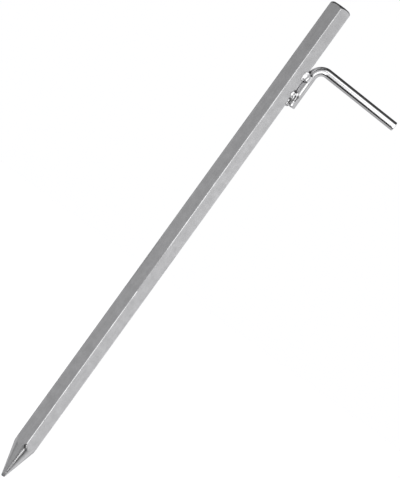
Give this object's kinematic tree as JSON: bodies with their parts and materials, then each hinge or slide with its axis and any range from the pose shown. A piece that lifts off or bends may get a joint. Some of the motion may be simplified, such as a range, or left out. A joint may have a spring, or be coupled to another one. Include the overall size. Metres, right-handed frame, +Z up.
{
  "type": "tent stake",
  "caption": "Pointed hexagonal steel ground stake, driven with a hammer, with a bent rod hook welded to one side that holds a guy line or tent loop down.",
  "frame": {"origin": "the end of the point, on the bar's axis", "axes": "+Z up the bar's axis to the struck end; +X square out from the flat that the hook is welded to, so the hook lies in the XZ plane; +Y to the rear"},
  "size_m": [0.065, 0.0136, 0.3],
  "materials": {
    "bar_zinc": "satin",
    "rod_zinc": "polished",
    "weld_zinc": "gloss"
  },
  "bodies": {
    "root": {"hex_bar": "bar_zinc", "hook_rod": "rod_zinc", "upper_front_weld": "weld_zinc", "lower_front_weld": "weld_zinc", "upper_rear_weld": "weld_zinc", "lower_rear_weld": "weld_zinc"}
  },
  "joints": []
}
